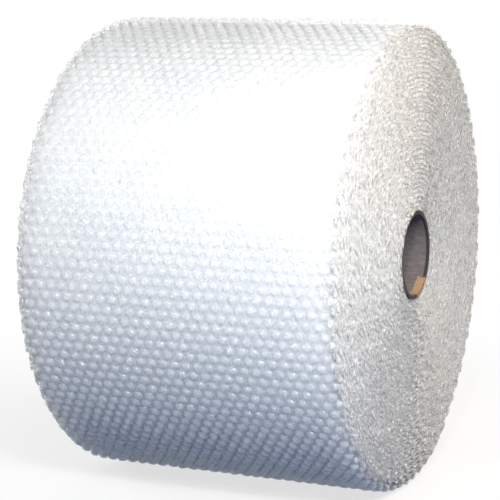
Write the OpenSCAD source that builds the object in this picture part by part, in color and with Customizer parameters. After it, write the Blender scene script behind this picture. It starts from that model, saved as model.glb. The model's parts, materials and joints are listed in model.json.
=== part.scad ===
// Roll of small-bubble cushioning film, wound on a paper tube and lying on its side.
// The roll's axis runs along X, +Z is up, and the origin is at the middle of the roll's
// underside. All sizes are in millimetres.

/* [Paper tube] */
// Bore of the tube, which a dispenser's rod goes through
core_bore_d = 76.2; // [50:0.1:110]
// Wall of the tube
core_wall = 3.2; // [1.6:0.1:8]
// How far each end of the tube sits back from the film's edges
core_recess = 1.5; // [0:0.1:6]
// Gap between the tube and the innermost turn
seat_gap = 0.1; // [0.05:0.05:0.5]

/* [Bubble film] */
// Width of the film, which is the length of the roll
film_w = 305; // [150:1:600]
// Thickness of one turn, as wound
turn_t = 4.4; // [3:0.1:7]
// Number of turns
turns = 40; // [10:1:60]
// Depth of the groove between the edges of two turns, at each end of the roll
edge_groove = 2.4; // [0.5:0.1:4]
// Radius of the soft shoulder between the side of the roll and each end
shoulder_r = 14; // [6:0.5:22]

/* [Bubble rows] */
// Distance from one row of bubbles to the next, round the roll
row_pitch = 9.5; // [7:0.1:14]
// Height of a row above the hollow beside it
row_h = 3.4; // [1:0.1:3.8]

/* [Resting] */
// Width of the flat spot that the roll's weight presses underneath
flat_w = 64; // [20:1:120]
// Where the loose end of the film lies, in degrees up from level at the back
tail_angle = -61.25; // [-75:0.25:-30]

/* [Hidden] */
$fn = 96;

// The turns are drawn as a two-centre spiral. The first half of each turn is centred on the
// tube. The second half is centred half a turn's thickness nearer the loose end, so each half
// runs on from the one before and the last one ends in a step of one thickness.
centre_step = turn_t / 2;
core_r = core_bore_d / 2 + core_wall;
seat_r = core_r + seat_gap;
first_half_r = seat_r + turns * turn_t;
second_half_r = first_half_r + centre_step;

// The roll sits on its flat spot, with its box centred on the origin.
flat_depth = second_half_r - sqrt(pow(second_half_r, 2) - pow(flat_w / 2, 2));
axis_z = second_half_r - centre_step * sin(tail_angle) - flat_depth;
axis_y = (second_half_r - first_half_r - centre_step * cos(tail_angle)) / 2;

// Rows of bubbles on each half of the outer turn, and the points that draw one row
half_rows = round(PI * first_half_r / row_pitch);
row_steps = 4;

// Cuts pass this far beyond what they cut.
overcut = 1;

// How far the edge of a turn sits back at the shoulder, from its depth below the side
function setback(depth) =
    depth >= shoulder_r
        ? 0
        : shoulder_r - sqrt(pow(shoulder_r, 2) - pow(shoulder_r - depth, 2));

// One end of the turns in section, from the tube outwards: edges of turns with grooves between
function edge_points(outer_r) = [
    for (step = [2 * turns - 1 : -1 : 1])
        let (depth = step * turn_t / 2)
        let (groove = step % 2 == 0 ? edge_groove : 0)
        [outer_r - depth, film_w / 2 - setback(depth) - groove]
];

function reversed(points) = [for (i = [len(points) - 1 : -1 : 0]) points[i]];

function mirrored(points) = [for (p = points) [p[0], -p[1]]];

// Half a revolution of every turn, from inside the tube's seat to beyond the bubble rows
module half_turns(outer_r) {
    rim_x = film_w / 2 - shoulder_r;
    profile = concat(
        [[seat_r - turn_t, film_w / 2]],
        edge_points(outer_r),
        [[outer_r + overcut, rim_x - overcut]]
    );
    rotate_extrude(angle = 180)
        polygon(concat(profile, reversed(mirrored(profile))));
}

// Outline of half of the outer turn, scalloped by its rows of bubbles
function half_outline(outer_r, centre_y, start) = [
    for (i = [0 : half_rows * row_steps])
        let (rows_passed = i / row_steps)
        let (bump = row_h * sqrt(abs(sin(180 * rows_passed))))
        let (angle = start + 180 * rows_passed / half_rows)
        let (r = outer_r - row_h + bump)
        [centre_y + r * cos(angle), r * sin(angle)]
];

module row_outline() {
    polygon(concat(
        half_outline(first_half_r, 0, 0),
        half_outline(second_half_r, centre_step, 180)
    ));
}

module wound_turns() {
    half_turns(first_half_r);
    translate([centre_step, 0, 0])
        rotate(180)
            half_turns(second_half_r);
}

// Turns a piece drawn round Z so that its axis is the roll's, with the loose end in place
module on_roll_axis() {
    translate([0, axis_y, axis_z])
        rotate([90, 0, 90])
            rotate(tail_angle)
                children();
}

module above_floor() {
    size = 2 * (second_half_r + turn_t) + film_w;
    translate([-size / 2, -size / 2, 0])
        cube(size);
}

// Spiral-wound paper tube
module paper_core() {
    color("#b79a74")
        on_roll_axis()
            difference() {
                cylinder(r = core_r, h = film_w - 2 * core_recess, center = true);
                cylinder(d = core_bore_d, h = film_w + 2 * overcut, center = true);
            }
}

// The whole length of film as one soft solid, its turns and rows of bubbles as grooves
module bubble_film() {
    color("#e3e8ee")
        intersection() {
            on_roll_axis()
                difference() {
                    intersection() {
                        wound_turns();
                        linear_extrude(height = film_w + 2 * overcut, center = true)
                            row_outline();
                    }
                    cylinder(r = seat_r, h = film_w + 2 * overcut, center = true);
                }
            above_floor();
        }
}

paper_core();
bubble_film();
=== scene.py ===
# A soft roll of small-bubble cushioning film, wound on a paper tube and lying on its side.
# Sizes are in metres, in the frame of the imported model: X along the roll's axis, Z up.
import json
import math

import bpy
import numpy as np
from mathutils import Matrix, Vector


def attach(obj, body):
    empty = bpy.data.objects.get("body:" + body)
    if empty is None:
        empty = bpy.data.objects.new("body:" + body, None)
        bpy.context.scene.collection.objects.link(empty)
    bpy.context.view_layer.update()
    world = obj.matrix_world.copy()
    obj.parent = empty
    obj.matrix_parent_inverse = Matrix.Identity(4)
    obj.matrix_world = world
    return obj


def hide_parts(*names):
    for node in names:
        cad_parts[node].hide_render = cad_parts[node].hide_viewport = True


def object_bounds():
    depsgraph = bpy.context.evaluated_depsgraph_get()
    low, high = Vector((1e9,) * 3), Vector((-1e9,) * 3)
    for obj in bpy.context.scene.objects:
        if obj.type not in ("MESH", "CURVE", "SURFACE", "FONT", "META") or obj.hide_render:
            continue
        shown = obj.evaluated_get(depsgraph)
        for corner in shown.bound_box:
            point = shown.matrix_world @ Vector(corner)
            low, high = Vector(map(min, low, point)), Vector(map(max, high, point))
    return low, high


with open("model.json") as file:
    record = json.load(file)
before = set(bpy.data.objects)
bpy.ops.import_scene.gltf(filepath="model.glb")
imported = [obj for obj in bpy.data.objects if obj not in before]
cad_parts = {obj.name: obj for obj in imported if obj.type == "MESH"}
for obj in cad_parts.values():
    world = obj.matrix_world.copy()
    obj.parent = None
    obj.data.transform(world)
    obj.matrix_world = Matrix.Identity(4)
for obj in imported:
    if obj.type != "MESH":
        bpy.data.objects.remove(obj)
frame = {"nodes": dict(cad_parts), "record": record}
cad_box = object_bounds()


# Camera
# The roll is seen from a little above its axis and from round to its right, through a long lens.
# The values come from fitting the roll's outline in the photograph, which is 500 pixels wide.
camera_azimuth = math.radians(22.97)
camera_elevation = math.radians(8.7)
camera_distance = 1.6296
focal_length_px = 1692.1
picture_width_px = 500
roll_centre_px = (266.5, 245.5)
sensor_width_mm = 36

core_bore = next(m for m in frame["record"]["mounts"] if m["name"] == "core_bore")
roll_centre = Vector(core_bore["pos_m"])
towards_camera = Vector((
    math.sin(camera_azimuth) * math.cos(camera_elevation),
    -math.cos(camera_azimuth) * math.cos(camera_elevation),
    math.sin(camera_elevation),
))

bpy.ops.object.select_all(action="DESELECT")
bpy.ops.object.camera_add(location=roll_centre + towards_camera * camera_distance)
camera = bpy.context.object
camera.name = "photo_camera"
camera.rotation_euler = towards_camera.to_track_quat("Z", "Y").to_euler()
camera.data.sensor_width = sensor_width_mm
camera.data.lens = sensor_width_mm * focal_length_px / picture_width_px
camera.data.shift_x = (picture_width_px / 2 - roll_centre_px[0]) / picture_width_px
camera.data.shift_y = (roll_centre_px[1] - picture_width_px / 2) / picture_width_px
bpy.context.scene.camera = camera


# Film finish
# Every film piece is the same clear polyethylene, so the fine crinkles of its surface are one
# shader group. It puts out a bumpy normal, a patchy roughness and a mask of milky patches.
crinkle_detail = 3.0
patch_scale = 28.0
patch_detail = 2.0
patch_contrast = (0.35, 0.65)


def link(tree, source, target):
    tree.links.new(source, target)


def mapped(tree, source, from_range, to_range=(0.0, 1.0)):
    node = tree.nodes.new("ShaderNodeMapRange")
    for end, (low, high) in (("From", from_range), ("To", to_range)):
        node.inputs[end + " Min"].default_value = low
        node.inputs[end + " Max"].default_value = high
    link(tree, source, node.inputs["Value"])
    return node


def crinkle_group():
    tree = bpy.data.node_groups.new("film_crinkles", "ShaderNodeTree")
    for name, kind, value in (
        ("Scale", "NodeSocketFloat", 300.0),
        ("Depth", "NodeSocketFloat", 0.0003),
        ("Roughness low", "NodeSocketFloat", 0.08),
        ("Roughness high", "NodeSocketFloat", 0.3),
    ):
        tree.interface.new_socket(name, in_out="INPUT", socket_type=kind).default_value = value
    for name, kind in (
        ("Normal", "NodeSocketVector"),
        ("Roughness", "NodeSocketFloat"),
        ("Milky", "NodeSocketFloat"),
    ):
        tree.interface.new_socket(name, in_out="OUTPUT", socket_type=kind)
    add = tree.nodes.new
    given = add("NodeGroupInput")
    result = add("NodeGroupOutput")
    place = add("ShaderNodeTexCoord")

    fine = add("ShaderNodeTexNoise")
    fine.inputs["Detail"].default_value = crinkle_detail
    link(tree, place.outputs["Object"], fine.inputs["Vector"])
    link(tree, given.outputs["Scale"], fine.inputs["Scale"])
    bump = add("ShaderNodeBump")
    link(tree, fine.outputs["Fac"], bump.inputs["Height"])
    link(tree, given.outputs["Depth"], bump.inputs["Distance"])
    link(tree, bump.outputs["Normal"], result.inputs["Normal"])

    broad = add("ShaderNodeTexNoise")
    broad.inputs["Scale"].default_value = patch_scale
    broad.inputs["Detail"].default_value = patch_detail
    link(tree, place.outputs["Object"], broad.inputs["Vector"])
    spread = mapped(tree, broad.outputs["Fac"], patch_contrast)
    link(tree, given.outputs["Roughness low"], spread.inputs["To Min"])
    link(tree, given.outputs["Roughness high"], spread.inputs["To Max"])
    link(tree, spread.outputs["Result"], result.inputs["Roughness"])
    link(tree, broad.outputs["Fac"], result.inputs["Milky"])
    return tree


film_crinkles = crinkle_group()


def new_material(name):
    material = bpy.data.materials.new(name)
    material.use_nodes = True
    shader = material.node_tree.nodes["Principled BSDF"]
    return material, material.node_tree, shader


def colour_ramp(tree, source, stops):
    ramp = tree.nodes.new("ShaderNodeValToRGB")
    elements = ramp.color_ramp.elements
    while len(elements) < len(stops):
        elements.new(0.5)
    for element, (position, colour) in zip(elements, stops):
        element.position = position
        element.color = (*colour, 1.0)
    link(tree, source, ramp.inputs["Fac"])
    return ramp.outputs["Color"]


def crinkled(tree, shader, scale, depth, roughness_low, roughness_high):
    group = tree.nodes.new("ShaderNodeGroup")
    group.node_tree = film_crinkles
    group.inputs["Scale"].default_value = scale
    group.inputs["Depth"].default_value = depth
    group.inputs["Roughness low"].default_value = roughness_low
    group.inputs["Roughness high"].default_value = roughness_high
    link(tree, group.outputs["Normal"], shader.inputs["Normal"])
    link(tree, group.outputs["Roughness"], shader.inputs["Roughness"])
    return group


# Paper tube
# A paper tube, wound spirally from narrow grey-brown plies and cut square at both ends. The film
# starts on it. The imported tube keeps its shape and gets its paper: fibres and the plies' seams,
# painted shade near both ends, and a painted pool of light in bare kraft's colour on the bore by
# one end.
paper_light = (0.205, 0.177, 0.177)
paper_dark = (0.14, 0.119, 0.121)
# Kraft colour of a painted pool of light on the bore by one end.
painted_light_kraft = (0.4, 0.26, 0.155)
# Painted shade for the bore and the end faces near both ends of the tube.
painted_end_shade = (0.3, 0.28, 0.28)
seam_shade = (0.45, 0.42, 0.4)
fibre_scale = 420.0
fibre_detail = 5.0
fibre_stretch = (0.35, 1.0, 1.0)
fibre_relief = 0.0004
ply_pitch = 0.085
seam_share = 0.022
# How far from the middle the painted shade at the ends begins.
painted_end_shade_from = 0.1485
# Where the painted pool of light lies, along the tube and round it, and how ragged its edge is.
painted_light_along = (0.143, 0.1512)
painted_light_round = (math.radians(-84), math.radians(-42))
painted_light_raggedness = 0.004
ragged_angle_per_metre = 60.0


def between(maths, value, low, high):
    above = maths("GREATER_THAN", value, low)
    return maths("MULTIPLY", above, maths("LESS_THAN", value, high))


def paper_material():
    material, tree, shader = new_material("tube_paper")
    add = tree.nodes.new
    place = add("ShaderNodeTexCoord")
    centred = add("ShaderNodeMapping")
    centred.inputs["Location"].default_value = (0.0, -roll_centre.y, -roll_centre.z)
    link(tree, place.outputs["Object"], centred.inputs["Vector"])
    split = add("ShaderNodeSeparateXYZ")
    link(tree, centred.outputs["Vector"], split.inputs["Vector"])

    def maths(operation, first, second=None):
        node = add("ShaderNodeMath")
        node.operation = operation
        for socket, value in zip(node.inputs, (first, second)):
            if value is None:
                continue
            if isinstance(value, (int, float)):
                socket.default_value = value
            else:
                link(tree, value, socket)
        return node.outputs["Value"]

    angle = maths("ARCTAN2", split.outputs["Z"], split.outputs["Y"])
    turns_round = maths("DIVIDE", angle, 2 * math.pi)
    plies_along = maths("DIVIDE", split.outputs["X"], ply_pitch)
    ply = maths("FRACT", maths("ADD", turns_round, plies_along))
    seam = maths("LESS_THAN", ply, seam_share)

    fibres = add("ShaderNodeTexNoise")
    fibres.inputs["Scale"].default_value = fibre_scale
    fibres.inputs["Detail"].default_value = fibre_detail
    stretched = add("ShaderNodeMapping")
    stretched.inputs["Scale"].default_value = fibre_stretch
    link(tree, centred.outputs["Vector"], stretched.inputs["Vector"])
    link(tree, stretched.outputs["Vector"], fibres.inputs["Vector"])
    paper = colour_ramp(tree, fibres.outputs["Fac"], ((0.3, paper_dark), (0.7, paper_light)))

    def mixed(mask, colour, other, blend="MIX"):
        node = add("ShaderNodeMix")
        node.data_type = "RGBA"
        node.blend_type = blend
        link(tree, mask, node.inputs[0])
        link(tree, colour, node.inputs[6])
        node.inputs[7].default_value = (*other, 1.0)
        return node.outputs[2]

    # Painted pool of light: a patch of bright kraft colour on the bore by one end, with a ragged
    # edge.
    from_mean = maths("SUBTRACT", fibres.outputs["Fac"], 0.5)
    ragged = maths("MULTIPLY", from_mean, painted_light_raggedness)
    along = maths("ADD", split.outputs["X"], ragged)
    angle_here = maths("ADD", angle, maths("MULTIPLY", ragged, ragged_angle_per_metre))
    painted_light_patch = maths("MULTIPLY", between(maths, along, *painted_light_along),
                   between(maths, angle_here, *painted_light_round))
    # Painted shade: the tube is darkened near both ends, in the bore and on the end faces.
    from_middle = maths("ABSOLUTE", split.outputs["X"])
    painted_end_shade_mask = maths("GREATER_THAN", from_middle, painted_end_shade_from)
    paper = mixed(seam, paper, seam_shade, "MULTIPLY")
    paper = mixed(painted_end_shade_mask, paper, painted_end_shade, "MULTIPLY")
    paper = mixed(painted_light_patch, paper, painted_light_kraft)
    link(tree, paper, shader.inputs["Base Color"])

    height = maths("SUBTRACT", fibres.outputs["Fac"], seam)
    bump = add("ShaderNodeBump")
    bump.inputs["Distance"].default_value = fibre_relief
    link(tree, height, bump.inputs["Height"])
    link(tree, bump.outputs["Normal"], shader.inputs["Normal"])
    shader.inputs["Roughness"].default_value = 0.85
    shader.inputs["Specular IOR Level"].default_value = 0.25
    return material


paper_core = frame["nodes"]["paper_core"]
for slot in paper_core.material_slots:
    slot.material = paper_material()


# How the film is wound
# The film runs once round the tube and then round itself, forty turns in all, as a two-centre
# spiral: each half turn is an arc, half a turn's thickness wider than the one before. The film's
# pieces are modelled flat, and wound() gives the place on the roll of each of their points.
turn_thickness = 0.0044
turn_count = 40
half_turn_count = 2 * turn_count
tube_wall = 0.0032
seat_gap = 0.0001
bubble_height = 0.0034
shoulder_radius = 0.014
loose_end_angle = math.radians(-61.25)
film_width = cad_box[1][0] - cad_box[0][0]
seat_radius = core_bore["dims"]["r_mm"] / 1000 + tube_wall + seat_gap
roll_radius = seat_radius + turn_count * turn_thickness
floor_clearance = 0.0001


def wound(along_x, half_turns, height):
    half = np.clip(np.floor(half_turns), 0, half_turn_count - 1)
    second = half % 2
    angle = math.pi * (half_turns - half + second)
    film_radius = seat_radius + (half / 2 + 1) * turn_thickness - bubble_height
    across = second * turn_thickness / 2 + (film_radius + height) * np.cos(angle)
    up = (film_radius + height) * np.sin(angle)
    y = roll_centre.y + across * math.cos(loose_end_angle) - up * math.sin(loose_end_angle)
    z = roll_centre.z + across * math.sin(loose_end_angle) + up * math.cos(loose_end_angle)
    return np.stack([along_x, y, np.maximum(z, floor_clearance)], axis=-1)


def depth_at(half_turns):
    # Distance from the outside of the roll down to the middle of the turn
    half = np.clip(np.floor(half_turns), 0, half_turn_count - 1)
    return (half_turn_count - half) * turn_thickness / 2


def setback(depth):
    inside = np.clip(shoulder_radius - depth, 0, None)
    return shoulder_radius - np.sqrt(shoulder_radius ** 2 - inside ** 2)


def select_only(obj):
    bpy.ops.object.select_all(action="DESELECT")
    obj.select_set(True)
    bpy.context.view_layer.objects.active = obj


def select_vertices(obj, wanted):
    bpy.ops.mesh.select_mode(type="VERT")
    bpy.ops.mesh.select_all(action="DESELECT")
    bpy.ops.object.mode_set(mode="OBJECT")
    for vertex in obj.data.vertices:
        vertex.select = wanted(vertex.co)
    bpy.ops.object.mode_set(mode="EDIT")


def mesh_arrays(obj):
    points = np.array([vertex.co[:] for vertex in obj.data.vertices])
    faces = [tuple(polygon.vertices) for polygon in obj.data.polygons]
    return points, faces


def mesh_object(name, points, faces):
    mesh = bpy.data.meshes.new(name)
    mesh.from_pydata([tuple(p) for p in points], [], faces)
    mesh.validate()
    obj = bpy.data.objects.new(name, mesh)
    bpy.context.collection.objects.link(obj)
    return obj


def copies_of(points, faces, count):
    # The same faces for each of count copies of the points
    step = len(points)
    return [tuple(i + n * step for i in face) for n in range(count) for face in faces]


def finish_film(obj, materials, crease_angle):
    for material in materials:
        obj.data.materials.append(material)
    select_only(obj)
    bpy.ops.object.shade_smooth_by_angle(angle=crease_angle)
    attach(obj, "root")


# Turns under the two outer ones
# Thirty-eight turns of film with air between them look like one milky body. It lies just under
# the two turns that show through each other, and its ends lie behind the edges of the turns.
body_stations = 288
body_clearance = 0.0005
body_depth = turn_thickness + bubble_height + body_clearance
body_end_setback = 0.0035
body_corner = 0.005
body_shoulder_steps = 5
body_side_steps = 6


def body_section():
    # Half of the section, as (x, depth below the outside), from the middle of the side inwards
    half_width = film_width / 2
    bend_start = half_width - body_end_setback - body_corner
    section = []
    for i in range(body_side_steps):
        section.append((bend_start * i / body_side_steps, body_depth))
    for i in range(body_shoulder_steps + 1):
        bend = math.pi / 2 * i / body_shoulder_steps
        section.append((
            bend_start + body_corner * math.sin(bend),
            body_depth + body_corner * (1 - math.cos(bend)),
        ))
    return section


def body_of_turns():
    outer = body_section()
    section = [(-x, depth) for x, depth in reversed(outer[1:])] + outer
    rows = len(section) + 2
    bpy.ops.object.select_all(action="DESELECT")
    bpy.ops.mesh.primitive_grid_add(
        x_subdivisions=rows - 1, y_subdivisions=body_stations + 1, size=1
    )
    body = bpy.context.object
    body.name = "inner_turns"
    points = np.array([v.co[:] for v in body.data.vertices])
    row = np.rint((points[:, 0] + 0.5) * (rows - 1)).astype(int)
    station = np.rint((points[:, 1] + 0.5) * (body_stations + 1)).astype(int)
    x = np.array([section[0][0]] + [s[0] for s in section] + [section[-1][0]])
    depth = np.array([0.0] + [s[1] for s in section] + [0.0])
    first = half_turn_count - 2
    half_turns = np.where(
        station <= body_stations, first + 2 * station / body_stations, first
    )
    half_turns = np.minimum(half_turns, half_turn_count - 1e-9)
    placed = wound(x[row], half_turns, bubble_height - depth[row])
    bore_angle = 2 * math.pi * (station % (body_stations + 1)) / body_stations
    bore_angle = bore_angle + loose_end_angle
    on_bore = (row == 0) | (row == rows - 1)
    placed[on_bore, 1] = roll_centre.y + seat_radius * np.cos(bore_angle[on_bore])
    placed[on_bore, 2] = roll_centre.z + seat_radius * np.sin(bore_angle[on_bore])
    body.data.vertices.foreach_set("co", placed.ravel())
    select_only(body)
    bpy.ops.object.mode_set(mode="EDIT")
    bpy.ops.mesh.select_all(action="SELECT")
    bpy.ops.mesh.remove_doubles(threshold=1e-6)
    bpy.ops.mesh.select_all(action="DESELECT")
    bpy.ops.mesh.select_non_manifold()
    bpy.ops.mesh.bridge_edge_loops()
    bpy.ops.mesh.select_all(action="SELECT")
    bpy.ops.mesh.normals_make_consistent(inside=False)
    bpy.ops.object.mode_set(mode="OBJECT")
    return body


def milky_material():
    material, tree, shader = new_material("milky_turns")
    group = crinkled(
        tree, shader, scale=260.0, depth=0.002, roughness_low=0.25, roughness_high=0.5
    )
    colour = colour_ramp(
        tree, group.outputs["Milky"], ((0.3, (0.80, 0.82, 0.84)), (0.7, (0.88, 0.89, 0.90)))
    )
    link(tree, colour, shader.inputs["Base Color"])
    shader.inputs["Subsurface Weight"].default_value = 1.0
    shader.inputs["Subsurface Radius"].default_value = (1.0, 1.0, 1.0)
    shader.inputs["Subsurface Scale"].default_value = 0.06
    return material


inner_turns = body_of_turns()
finish_film(inner_turns, [milky_material()], math.radians(40))
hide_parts("bubble_film")


# The two outer turns
# The last turn of film and the one under it, which shows through: each a flat sheet with a sheet
# of bubbles sealed to it, bubbles outwards. One bubble and its share of the flat sheet are
# modelled and copied in rows. The lower turn leaves its flat sheet to the body of turns.
bubbles_across = 27
bubble_pitch = 0.0109
bubble_radius = 0.00475
bubble_reach = bubble_radius * 1.01
bubble_sides = 7
bubble_rings = ((0.92, 0.38), (0.64, 0.80))
height_range = (0.80, 1.0)
lean_limit = 0.0005
twist_limit = 0.2
rows_per_half_turn = 72
row_pitch = math.pi * roll_radius / rows_per_half_turn
flat_tolerance = 1e-5
edge_lip = 0.0006
rim_sink = 0.0004
# Dark colour painted on the film where it is seen edge on: painted shade at its rims.
film_rim_painted_shade = (0.03, 0.05, 0.075)
low_film_height = (0.045, 0.09)


def bubble_patch():
    bpy.ops.object.select_all(action="DESELECT")
    bpy.ops.mesh.primitive_circle_add(vertices=6, radius=bubble_pitch / math.sqrt(3))
    patch = bpy.context.object
    bpy.ops.object.mode_set(mode="EDIT")
    bpy.ops.mesh.primitive_circle_add(vertices=bubble_sides, radius=bubble_radius)
    bpy.ops.mesh.select_all(action="SELECT")
    bpy.ops.mesh.bridge_edge_loops()
    select_vertices(patch, lambda co: co.xy.length < bubble_reach)
    raise_bubble()
    bpy.ops.mesh.select_all(action="SELECT")
    bpy.ops.mesh.normals_make_consistent(inside=False)
    bpy.ops.object.mode_set(mode="OBJECT")
    return patch


def raise_bubble():
    # Draws the selected rim up into a bubble: a steep wall, a round shoulder and a low crown
    lower = (1.0, 0.0)
    for ring in bubble_rings:
        rise = (ring[1] - lower[1]) * bubble_height
        shrink = ring[0] / lower[0]
        bpy.ops.mesh.extrude_region_move(TRANSFORM_OT_translate={"value": (0, 0, rise)})
        bpy.ops.transform.resize(value=(shrink, shrink, 1), center_override=(0, 0, 0))
        lower = ring
    rise = (1 - lower[1]) * bubble_height
    bpy.ops.mesh.extrude_region_move(TRANSFORM_OT_translate={"value": (0, 0, rise)})
    bpy.ops.mesh.merge(type="CENTER")


def copy_of(source):
    select_only(source)
    bpy.ops.object.duplicate()
    return bpy.context.object


def half_patch(patch, side):
    half = copy_of(patch)
    bpy.ops.object.mode_set(mode="EDIT")
    bpy.ops.mesh.select_all(action="SELECT")
    bpy.ops.mesh.bisect(plane_co=(0, 0, 0), plane_no=(side, 0, 0), clear_outer=True)
    bpy.ops.object.mode_set(mode="OBJECT")
    return half


def bubble_alone(patch):
    bubble = copy_of(patch)
    bpy.ops.object.mode_set(mode="EDIT")
    select_vertices(bubble, lambda co: co.xy.length > bubble_reach)
    bpy.ops.mesh.delete(type="VERT")
    bpy.ops.object.mode_set(mode="OBJECT")
    return bubble


def laid_out(patch, centres, chance):
    # One copy of the patch at each centre, each bubble a little different from the rest
    points, faces = mesh_arrays(patch)
    scale_to_rows = row_pitch / (bubble_pitch * math.sqrt(3) / 2)
    count = len(centres)
    in_bubble = np.hypot(points[:, 0], points[:, 1]) < bubble_reach
    on_cut = np.ptp(points[:, 0]) < bubble_pitch * 0.6
    copies = np.repeat(points[None], count, axis=0)
    twist = chance.uniform(-twist_limit, twist_limit, count)[:, None] * in_bubble
    twist = twist * (0.0 if on_cut else 1.0)
    x = copies[..., 0] * np.cos(twist) - copies[..., 1] * np.sin(twist)
    y = copies[..., 0] * np.sin(twist) + copies[..., 1] * np.cos(twist)
    rise = copies[..., 2] / bubble_height
    x = x + rise * chance.uniform(-lean_limit, lean_limit, count)[:, None]
    y = y + rise * chance.uniform(-lean_limit, lean_limit, count)[:, None]
    z = copies[..., 2] * chance.uniform(*height_range, count)[:, None]
    x = x + centres[:, 0, None]
    y = y * scale_to_rows + centres[:, 1, None]
    laid = np.stack([x, y, z], axis=-1).reshape(-1, 3)
    return laid, copies_of(points, faces, count)


def over_shoulder(x, height):
    # Bends the flat film round the roll's soft shoulder
    bend_start = film_width / 2 - shoulder_radius
    film_bend = shoulder_radius - bubble_height
    past = np.clip(np.abs(x) - bend_start, 0, None)
    bend = past / film_bend
    bent_x = np.sign(x) * (bend_start + (film_bend + height) * np.sin(bend))
    bent_height = (film_bend + height) * np.cos(bend) - film_bend
    beyond = past > 0
    return np.where(beyond, bent_x, x), np.where(beyond, bent_height, height)


def bubble_centres(across, rows):
    # Rows of bubbles, every second one shifted by half a bubble, and the rows' cut ends
    whole, cut = [], {-1: [], 1: []}
    half_width = across * bubble_pitch / 2
    for row in range(rows):
        y = (row + 0.5) * row_pitch
        shifted = row % 2
        start = -half_width + bubble_pitch * (0.5 + shifted / 2)
        for column in range(across - shifted):
            whole.append((start + column * bubble_pitch, y))
        if shifted:
            for side in cut:
                cut[side].append((side * half_width, y))
    return np.array(whole), {side: np.array(ends) for side, ends in cut.items()}


def joined_pieces(pieces, chance):
    points, faces = [], []
    for piece, centres in pieces:
        laid, laid_faces = laid_out(piece, centres, chance)
        base = sum(len(p) for p in points)
        points.append(laid)
        faces += [tuple(i + base for i in face) for face in laid_faces]
    return np.concatenate(points), faces


def mark_bubbles(film, heights):
    # Gives the flat sheet the film's first material and the bubbles its second
    raised = heights > flat_tolerance
    of_bubble = [int(raised[list(face.vertices)].any()) for face in film.data.polygons]
    film.data.polygons.foreach_set("material_index", of_bubble)


def outer_turn_of_film(patch):
    chance = np.random.default_rng(11)
    halves = {side: half_patch(patch, side) for side in (-1, 1)}
    whole, cut = bubble_centres(bubbles_across, 2 * rows_per_half_turn)
    pieces = ((patch, whole), (halves[-1], cut[-1]), (halves[1], cut[1]))
    points, faces = joined_pieces(pieces, chance)
    for used in halves.values():
        bpy.data.objects.remove(used)
    film = mesh_object("outer_turn", points, faces)
    select_only(film)
    bpy.ops.object.mode_set(mode="EDIT")
    bpy.ops.mesh.select_all(action="SELECT")
    bpy.ops.mesh.remove_doubles(threshold=2e-5)
    bpy.ops.mesh.select_all(action="DESELECT")
    bpy.ops.mesh.select_non_manifold()
    bpy.ops.mesh.extrude_region_move()
    bpy.ops.object.mode_set(mode="OBJECT")
    flat = np.array([v.co[:] for v in film.data.vertices])
    lip = np.array([v.select for v in film.data.vertices])
    mark_bubbles(film, flat[:, 2])
    flat[lip, 2] = -edge_lip
    x, height = over_shoulder(flat[:, 0], flat[:, 2])
    half_turns = half_turn_count - 2 + flat[:, 1] / (row_pitch * rows_per_half_turn)
    film.data.vertices.foreach_set("co", wound(x, half_turns, height).ravel())
    return film


def lower_turn_of_film(patch):
    chance = np.random.default_rng(12)
    bubble = bubble_alone(patch)
    lower_rows = 2 * rows_per_half_turn - 2
    whole, _ = bubble_centres(bubbles_across - 2, lower_rows)
    points, faces = joined_pieces(((bubble, whole),), chance)
    bpy.data.objects.remove(bubble)
    half_turns = half_turn_count - 4 + points[:, 1] / (row_pitch * lower_rows / 2)
    height = points[:, 2] - rim_sink * (points[:, 2] < flat_tolerance)
    film = mesh_object("lower_turn", wound(points[:, 0], half_turns, height), faces)
    mark_bubbles(film, points[:, 2])
    return film


def clear_film_material(name, cover_from, cover_range, low_cover, painted_rim_shade_range):
    # Clear film is seen best edge on, where it covers more, and there its colour turns dark:
    # painted shade at the rims of the film and its bubbles. Low on the roll, where less light comes
    # through it from the turns below, it covers more from the front too.
    material, tree, shader = new_material(name)
    group = crinkled(
        tree, shader, scale=420.0, depth=0.0009, roughness_low=0.04, roughness_high=0.12
    )
    colour = colour_ramp(
        tree, group.outputs["Milky"], ((0.3, (0.90, 0.92, 0.935)), (0.7, (0.96, 0.965, 0.97)))
    )
    edge_on = tree.nodes.new("ShaderNodeLayerWeight")
    edge_on.inputs["Blend"].default_value = 0.3
    facing = edge_on.outputs["Facing"]
    place = tree.nodes.new("ShaderNodeTexCoord")
    split = tree.nodes.new("ShaderNodeSeparateXYZ")
    link(tree, place.outputs["Object"], split.inputs["Vector"])
    front_cover = mapped(
        tree, split.outputs["Z"], low_film_height, (low_cover, cover_range[0])
    )
    cover = mapped(tree, facing, cover_from, cover_range)
    link(tree, front_cover.outputs["Result"], cover.inputs["To Min"])
    link(tree, cover.outputs["Result"], shader.inputs["Alpha"])
    # Painted shade: the film's colour darkens towards its rims, where it is seen edge on.
    rim = mapped(tree, facing, painted_rim_shade_range)
    painted_rim_mix = tree.nodes.new("ShaderNodeMix")
    painted_rim_mix.data_type = "RGBA"
    link(tree, rim.outputs["Result"], painted_rim_mix.inputs[0])
    link(tree, colour, painted_rim_mix.inputs[6])
    painted_rim_mix.inputs[7].default_value = (*film_rim_painted_shade, 1.0)
    link(tree, painted_rim_mix.outputs[2], shader.inputs["Base Color"])
    shader.inputs["IOR"].default_value = 1.55
    shader.inputs["Specular IOR Level"].default_value = 1.0
    shader.inputs["Coat Weight"].default_value = 0.7
    shader.inputs["Coat Roughness"].default_value = 0.05
    return material


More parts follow.
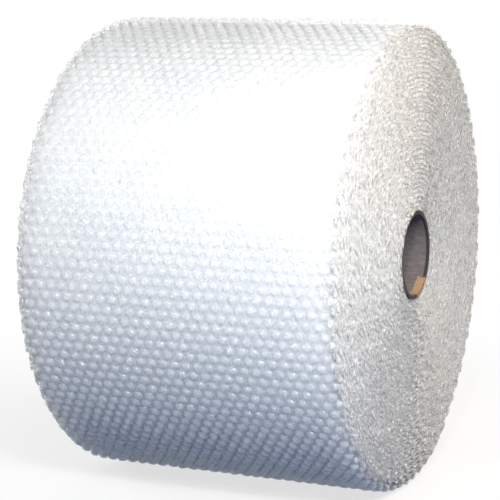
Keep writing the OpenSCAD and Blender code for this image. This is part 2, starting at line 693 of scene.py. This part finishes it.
film_patch = bubble_patch()
film_sheet = clear_film_material(
    "clear_film_sheet",
    cover_from=(0.0, 1.0), cover_range=(0.14, 0.95), low_cover=0.14, painted_rim_shade_range=(0.2, 0.6),
)
outer_bubbles = clear_film_material(
    "clear_film_bubbles",
    cover_from=(0.4, 1.0), cover_range=(0.26, 0.84), low_cover=0.54, painted_rim_shade_range=(0.7, 0.92),
)
lower_bubbles = clear_film_material(
    "clear_film_lower_bubbles",
    cover_from=(0.4, 1.0), cover_range=(0.14, 0.7), low_cover=0.2, painted_rim_shade_range=(0.76, 0.96),
)
for turn, bubbles in (
    (outer_turn_of_film(film_patch), outer_bubbles),
    (lower_turn_of_film(film_patch), lower_bubbles),
):
    finish_film(turn, [film_sheet, bubbles], math.radians(60))
    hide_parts("bubble_film")
bpy.data.objects.remove(film_patch)


# Edges of the turns
# At each end of the roll the slit edges of all its turns show, each a line of film with a row of
# bubbles on it. Every second bubble was cut through when the film was slit, and has crumpled.
edge_band = 0.011
film_edge_thickness = 0.0004
edge_steps = 6
edge_wander = 0.0016
short_wander = 0.0047
long_wander = 0.11
ripple_length = 0.0041
ripple_height = 0.0005
crumple = 0.0011
whole_squash = (0.62, 1.0)
cut_squash = (0.45, 1.05)
edge_bubble_inset = bubble_radius + 0.0006
cut_bubble_inset = 0.0002
at_slit = 0.00001
crown_share = 0.9
# Size and detail of the slit bubbles' flecks: partly the film's random tone, partly painted glints.
fleck_and_glint_scale = 330.0
fleck_and_glint_detail = 2.0


def edge_patch():
    # Two rows' worth of film edge, with x = 0 at the slit: a strip, a whole bubble and a cut one
    length = 2 * row_pitch
    bpy.ops.object.select_all(action="DESELECT")
    bpy.ops.mesh.primitive_grid_add(x_subdivisions=1, y_subdivisions=edge_steps, size=1)
    strip = bpy.context.object
    bpy.ops.object.mode_set(mode="EDIT")
    bpy.ops.transform.resize(value=(edge_band, length, 1), center_override=(0, 0, 0))
    bpy.ops.transform.translate(value=(-edge_band / 2, length / 2, 0))
    select_vertices(strip, lambda co: co.x > -1e-6)
    bpy.ops.mesh.select_mode(type="EDGE")
    bpy.ops.mesh.extrude_region_move(
        TRANSFORM_OT_translate={"value": (0, 0, -film_edge_thickness)}
    )
    bpy.ops.mesh.extrude_region_move(TRANSFORM_OT_translate={"value": (-edge_band, 0, 0)})
    bpy.ops.object.mode_set(mode="OBJECT")

    parts = [strip]
    for centre_x, centre_y, cut in (
        (-edge_bubble_inset, row_pitch / 2, False),
        (-cut_bubble_inset, row_pitch * 3 / 2, True),
    ):
        bpy.ops.object.select_all(action="DESELECT")
        bpy.ops.mesh.primitive_circle_add(
            vertices=bubble_sides + 1, radius=bubble_radius, fill_type="NGON"
        )
        bubble = bpy.context.object
        bpy.ops.object.mode_set(mode="EDIT")
        bpy.ops.mesh.select_all(action="SELECT")
        raise_bubble()
        bpy.ops.mesh.select_all(action="SELECT")
        bpy.ops.transform.translate(value=(centre_x, centre_y, 0))
        bpy.ops.mesh.bisect(
            plane_co=(-at_slit if cut else -edge_bubble_inset, 0, 0),
            plane_no=(1 if cut else -1, 0, 0),
            clear_outer=True,
            use_fill=cut,
        )
        bpy.ops.object.mode_set(mode="OBJECT")
        parts.append(bubble)
    select_only(strip)
    for part in parts:
        part.select_set(True)
    bpy.ops.object.join()
    bpy.ops.object.mode_set(mode="EDIT")
    bpy.ops.mesh.select_all(action="SELECT")
    bpy.ops.mesh.normals_make_consistent(inside=False)
    bpy.ops.object.mode_set(mode="OBJECT")
    return strip


def smooth_wander(positions, spacing, size, chance):
    # A random offset that changes smoothly along the film
    knots = chance.uniform(-size, size, int(positions.max() / spacing) + 3)
    place = positions / spacing
    lower = np.floor(place).astype(int)
    share = place - lower
    share = share * share * (3 - 2 * share)
    return knots[lower] * (1 - share) + knots[lower + 1] * share


def draws_by_place(points, at_cut):
    # Tells whose random draws each point takes, mostly its own. Blender numbers the points at the
    # crown of the cut in an order that varies from run to run, so they go by their place.
    crown = np.flatnonzero(at_cut & (points[:, 2] > bubble_height * crown_share))
    taken = np.arange(len(points))
    taken[crown[np.argsort(-points[crown, 1])]] = crown
    return taken


def turn_edges(name, side, seed):
    chance = np.random.default_rng(seed)
    patch = edge_patch()
    points, faces = mesh_arrays(patch)
    bpy.data.objects.remove(patch)
    half_lengths = math.pi * (
        seat_radius + (np.arange(half_turn_count) + 1) * turn_thickness / 2
    )
    starts = np.concatenate([[0], np.cumsum(half_lengths)])
    shown_length = starts[half_turn_count - 2]
    count = int(shown_length / (2 * row_pitch))
    copies = np.repeat(points[None], count, axis=0)
    is_bubble = points[:, 2] > flat_tolerance
    at_cut = is_bubble & (points[:, 0] > -10 * at_slit)
    shape = copies.shape[:2]
    x, y, z = copies[..., 0], copies[..., 1], copies[..., 2]
    y = y + np.arange(count)[:, None] * 2 * row_pitch

    whole_share = chance.uniform(*whole_squash, count)[:, None]
    cut_share = chance.uniform(*cut_squash, count)[:, None]
    cut_bubble = (is_bubble & (points[:, 1] > row_pitch))[None]
    z = np.where(cut_bubble, z * cut_share, np.where(is_bubble[None], z * whole_share, z))
    taken = draws_by_place(points, at_cut)
    x = x - at_cut[None] * chance.uniform(0, crumple * 1.6, shape)[:, taken]
    y = y + cut_bubble * chance.uniform(-crumple / 2, crumple / 2, shape)[:, taken]
    z = z + at_cut[None] * chance.uniform(-crumple / 2, crumple / 2, shape)[:, taken]

    x = x - edge_wander / 2 + smooth_wander(y, short_wander, edge_wander / 4, chance)
    x = x + smooth_wander(y, long_wander, edge_wander / 4, chance)
    z = z + smooth_wander(y, ripple_length, ripple_height, chance)
    y = np.clip(y, 0, shown_length - 1e-6)
    half = np.searchsorted(starts, y, side="right") - 1
    half_turns = half + (y - starts[half]) / half_lengths[half]
    edge_x = film_width / 2 - setback(depth_at(half_turns))
    x = np.minimum(edge_x + x, film_width / 2)
    placed = wound(side * x, half_turns, z).reshape(-1, 3)
    edges = mesh_object(name, placed, copies_of(points, faces, count))
    of_bubble = [int(is_bubble[list(face)].any()) for face in faces]
    edges.data.polygons.foreach_set("material_index", np.tile(of_bubble, count))
    select_only(edges)
    bpy.ops.object.mode_set(mode="EDIT")
    bpy.ops.mesh.select_all(action="SELECT")
    if side < 0:
        bpy.ops.mesh.flip_normals()
    bpy.ops.object.mode_set(mode="OBJECT")
    return edges


def edge_crinkled(tree, shader):
    return crinkled(
        tree, shader, scale=500.0, depth=0.0028, roughness_low=0.08, roughness_high=0.25
    )


def edge_sheet_material():
    material, tree, shader = new_material("film_edge_sheet")
    group = edge_crinkled(tree, shader)
    colour = colour_ramp(
        tree, group.outputs["Milky"], ((0.3, (0.86, 0.86, 0.85)), (0.7, (0.96, 0.955, 0.945)))
    )
    link(tree, colour, shader.inputs["Base Color"])
    shader.inputs["Alpha"].default_value = 0.2
    shader.inputs["IOR"].default_value = 1.5
    shader.inputs["Specular IOR Level"].default_value = 1.0
    return material


def edge_bubble_material():
    material, tree, shader = new_material("film_edge_bubbles")
    edge_crinkled(tree, shader)
    # Pale and dark flecks on the slit bubbles: partly the film's random tone, partly painted
    # glints.
    flecks_and_glints = tree.nodes.new("ShaderNodeTexNoise")
    flecks_and_glints.inputs["Scale"].default_value = fleck_and_glint_scale
    flecks_and_glints.inputs["Detail"].default_value = fleck_and_glint_detail
    place = tree.nodes.new("ShaderNodeTexCoord")
    link(tree, place.outputs["Object"], flecks_and_glints.inputs["Vector"])
    colour = colour_ramp(
        tree, flecks_and_glints.outputs["Fac"],
        ((0.38, (0.66, 0.65, 0.63)), (0.5, (0.91, 0.9, 0.88)), (0.62, (1.0, 0.995, 0.98)))
    )
    link(tree, colour, shader.inputs["Base Color"])
    shader.inputs["Alpha"].default_value = 0.6
    shader.inputs["IOR"].default_value = 1.6
    shader.inputs["Specular IOR Level"].default_value = 1.0
    return material


film_edge_materials = [edge_sheet_material(), edge_bubble_material()]
for name, side, seed in (("near_turn_edges", 1, 21), ("far_turn_edges", -1, 22)):
    edges = turn_edges(name, side, seed)
    finish_film(edges, film_edge_materials, math.radians(50))
    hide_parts("bubble_film")


# Floor, lamps and background
# A pale floor that runs out of view, a pale world, and lamps all round at a plain level. A wide
# strip by the camera's right shades the side from right to left, and a second one whitens the
# upper side. Two small lamps give the bubbles their glints, and three more light the near end,
# the back and the far end.
shadow_reach = 0.9
background_share = 0.7
floor_underlight = (0.001, 0.036, 0.17)
world_colour = (0.55, 0.76, 1.0)
world_strength = 0.11


def seen_directly(tree):
    # Rays that should meet the plain background: from the camera, and off or through gloss
    ray = tree.nodes.new("ShaderNodeLightPath")
    seen = ray.outputs["Is Camera Ray"]
    for kind in ("Is Glossy Ray", "Is Transmission Ray"):
        either = tree.nodes.new("ShaderNodeMath")
        either.operation = "MAXIMUM"
        link(tree, seen, either.inputs[0])
        link(tree, ray.outputs[kind], either.inputs[1])
        seen = either.outputs["Value"]
    return seen


def floor_material():
    material, tree, shader = new_material("pale_floor")
    add = tree.nodes.new
    shader.inputs["Base Color"].default_value = (0.9, 0.9, 0.9, 1.0)
    shader.inputs["Roughness"].default_value = 0.9
    shader.inputs["Specular IOR Level"].default_value = 0.0
    white = add("ShaderNodeEmission")
    dim = add("ShaderNodeBsdfDiffuse")
    dim.inputs["Color"].default_value = (*floor_underlight, 1.0)
    place = add("ShaderNodeTexCoord")
    away = add("ShaderNodeVectorMath")
    away.operation = "LENGTH"
    link(tree, place.outputs["Object"], away.inputs[0])
    fade = mapped(
        tree, away.outputs["Value"], (shadow_reach / 4, shadow_reach), (background_share, 1.0)
    )
    fade.interpolation_type = "SMOOTHSTEP"
    pale = add("ShaderNodeMixShader")
    link(tree, fade.outputs["Result"], pale.inputs["Fac"])
    link(tree, shader.outputs["BSDF"], pale.inputs[1])
    link(tree, white.outputs["Emission"], pale.inputs[2])
    shown = add("ShaderNodeMixShader")
    link(tree, seen_directly(tree), shown.inputs["Fac"])
    link(tree, dim.outputs["BSDF"], shown.inputs[1])
    link(tree, pale.outputs["Shader"], shown.inputs[2])
    link(tree, shown.outputs["Shader"], tree.nodes["Material Output"].inputs["Surface"])
    return material


bpy.ops.object.select_all(action="DESELECT")
bpy.ops.mesh.primitive_plane_add(size=60, location=(0, 0, 0))
floor = bpy.context.object
floor.name = "floor"
floor.data.materials.append(floor_material())


def lamp(name, azimuth, elevation, distance, width, height, power, colour):
    # An oval lamp that points at the roll's middle, its angles in degrees and the rest in metres
    # and watts
    azimuth, elevation = math.radians(azimuth), math.radians(elevation)
    direction = Vector((
        math.sin(azimuth) * math.cos(elevation),
        -math.cos(azimuth) * math.cos(elevation),
        math.sin(elevation),
    ))
    bpy.ops.object.select_all(action="DESELECT")
    bpy.ops.object.light_add(type="AREA", location=roll_centre + direction * distance)
    light = bpy.context.object
    light.name = name
    light.rotation_euler = direction.to_track_quat("Z", "Y").to_euler()
    light.data.shape = "ELLIPSE"
    light.data.size = width
    light.data.size_y = height
    light.data.energy = power
    light.data.color = colour


lamp("key_lamp", 37, 26, 1.15, 0.85, 0.15, 11.6, (1.0, 0.985, 0.95))
lamp("band_lamp", -12, 39, 1.4, 0.8, 0.12, 2.8, (1.0, 0.98, 0.94))
lamp("glint_lamp", 25, 32, 1.2, 0.06, 0.06, 3.5, (1.0, 1.0, 0.99))
lamp("low_lamp", 28, -7, 0.9, 0.04, 0.04, 0.66, (0.5, 0.8, 1.0))
lamp("right_fill", 108, 30, 1.0, 0.6, 0.35, 4.2, (1.0, 0.81, 0.6))
lamp("back_lamp", 192, 6, 1.6, 1.0, 0.4, 17, (1.0, 0.99, 0.97))
lamp("far_end_lamp", 264, 12, 1.3, 0.6, 0.4, 7, (1.0, 0.98, 0.95))

world = bpy.data.worlds.new("studio")
bpy.context.scene.world = world
world.use_nodes = True
nodes = world.node_tree.nodes
shown = nodes.new("ShaderNodeBackground")
shown.inputs["Color"].default_value = (1.0, 1.0, 1.0, 1.0)
lit = nodes["Background"]
lit.inputs["Color"].default_value = (*world_colour, 1.0)
lit.inputs["Strength"].default_value = world_strength
either = nodes.new("ShaderNodeMixShader")
link(world.node_tree, seen_directly(world.node_tree), either.inputs["Fac"])
link(world.node_tree, lit.outputs["Background"], either.inputs[1])
link(world.node_tree, shown.outputs["Background"], either.inputs[2])
link(world.node_tree, either.outputs["Shader"], nodes["World Output"].inputs["Surface"])

bpy.context.scene.view_settings.view_transform = "Standard"
